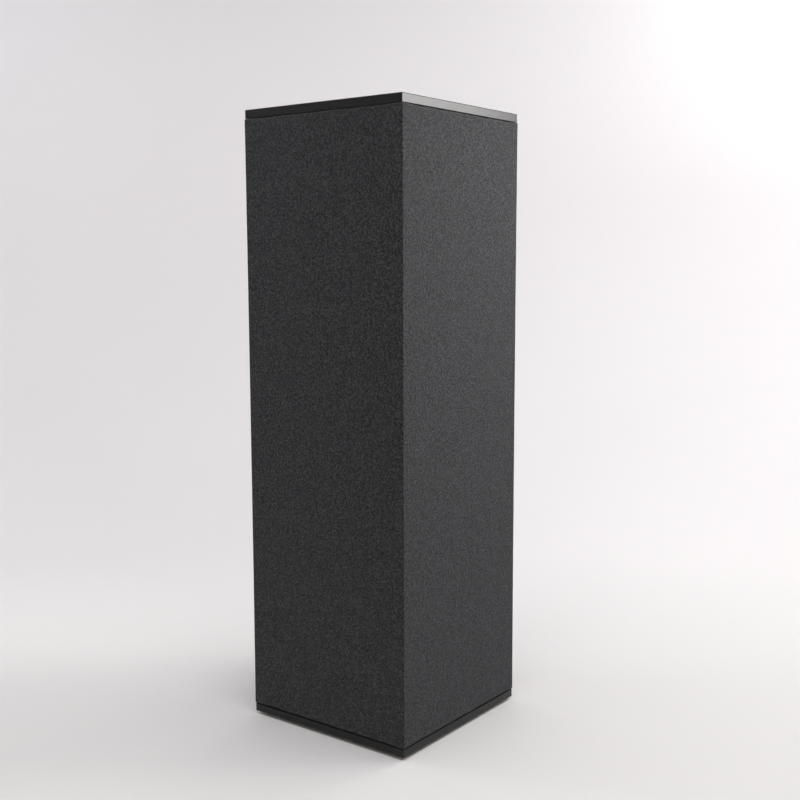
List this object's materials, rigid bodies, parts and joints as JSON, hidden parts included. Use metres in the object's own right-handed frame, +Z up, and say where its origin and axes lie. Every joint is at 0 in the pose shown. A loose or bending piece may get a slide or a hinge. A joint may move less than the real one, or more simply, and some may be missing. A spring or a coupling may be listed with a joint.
{
  "type": "display plinth",
  "caption": "Square felt-wrapped display plinth between thin black laminated boards, with shadow gaps and hidden levelling glides.",
  "frame": {"origin": "on the floor, under the centre of the base board", "axes": "+Z up; the front side faces -Y and the right side faces +X"},
  "size_m": [0.35, 0.35, 1.116],
  "materials": {
    "laminate": "satin",
    "edge_band": "satin",
    "board_core": "matte",
    "panel": "matte",
    "pine": "matte",
    "spacer": "matte",
    "felt": "matte",
    "zinc_steel": "satin",
    "staple_wire": "satin",
    "nylon": "satin",
    "grip": "matte"
  },
  "bodies": {
    "plinth": {"top_laminate": "laminate", "top_backer": "laminate", "top_core": "board_core", "top_spacer": "spacer", "top_edge_front": "edge_band", "top_edge_right": "edge_band", "top_edge_back": "edge_band", "top_edge_left": "edge_band", "base_laminate": "laminate", "base_backer": "laminate", "base_core": "board_core", "base_spacer": "spacer", "base_edge_front": "edge_band", "base_edge_right": "edge_band", "base_edge_back": "edge_band", "base_edge_left": "edge_band", "wall_front": "panel", "base_rail_front": "pine", "middle_rail_front": "pine", "wall_right": "panel", "base_rail_right": "pine", "middle_rail_right": "pine", "wall_back": "panel", "base_rail_back": "pine", "middle_rail_back": "pine", "wall_left": "panel", "base_rail_left": "pine", "middle_rail_left": "pine", "post_front_left": "pine", "post_front_right": "pine", "post_back_left": "pine", "post_back_right": "pine", "sub_top": "panel", "felt_cover": "felt", "felt_staples": "staple_wire", "base_screws": "zinc_steel", "top_screws": "zinc_steel", "post_screws": "zinc_steel", "wall_screws": "zinc_steel", "glide_inserts": "zinc_steel"},
    "foot_front_left": {"glide_pad_front_left": "nylon", "glide_disc_front_left": "grip"},
    "stem_front_left": {"glide_stem_front_left": "zinc_steel"},
    "foot_front_right": {"glide_pad_front_right": "nylon", "glide_disc_front_right": "grip"},
    "stem_front_right": {"glide_stem_front_right": "zinc_steel"},
    "foot_back_left": {"glide_pad_back_left": "nylon", "glide_disc_back_left": "grip"},
    "stem_back_left": {"glide_stem_back_left": "zinc_steel"},
    "foot_back_right": {"glide_pad_back_right": "nylon", "glide_disc_back_right": "grip"},
    "stem_back_right": {"glide_stem_back_right": "zinc_steel"}
  },
  "joints": [
    {"name": "lift_front_left", "type": "slide", "parent": "plinth", "child": "foot_front_left", "axis": [0, 0, -1], "range_m": [0, 0.01]},
    {"name": "turn_front_left", "type": "hinge", "parent": "foot_front_left", "child": "stem_front_left", "pos_m": [-0.122, -0.122, 0.0055], "axis": [0, 0, -1], "range_deg": [0, 2880]},
    {"name": "lift_front_right", "type": "slide", "parent": "plinth", "child": "foot_front_right", "axis": [0, 0, -1], "range_m": [0, 0.01]},
    {"name": "turn_front_right", "type": "hinge", "parent": "foot_front_right", "child": "stem_front_right", "pos_m": [0.122, -0.122, 0.0055], "axis": [0, 0, -1], "range_deg": [0, 2880]},
    {"name": "lift_back_left", "type": "slide", "parent": "plinth", "child": "foot_back_left", "axis": [0, 0, -1], "range_m": [0, 0.01]},
    {"name": "turn_back_left", "type": "hinge", "parent": "foot_back_left", "child": "stem_back_left", "pos_m": [-0.122, 0.122, 0.0055], "axis": [0, 0, -1], "range_deg": [0, 2880]},
    {"name": "lift_back_right", "type": "slide", "parent": "plinth", "child": "foot_back_right", "axis": [0, 0, -1], "range_m": [0, 0.01]},
    {"name": "turn_back_right", "type": "hinge", "parent": "foot_back_right", "child": "stem_back_right", "pos_m": [0.122, 0.122, 0.0055], "axis": [0, 0, -1], "range_deg": [0, 2880]}
  ],
  "couplings": [
    {"joint": "lift_front_left", "follows": "turn_front_left", "m_per_rad": 0.00019894},
    {"joint": "lift_front_right", "follows": "turn_front_right", "m_per_rad": 0.00019894},
    {"joint": "lift_back_left", "follows": "turn_back_left", "m_per_rad": 0.00019894},
    {"joint": "lift_back_right", "follows": "turn_back_right", "m_per_rad": 0.00019894}
  ]
}
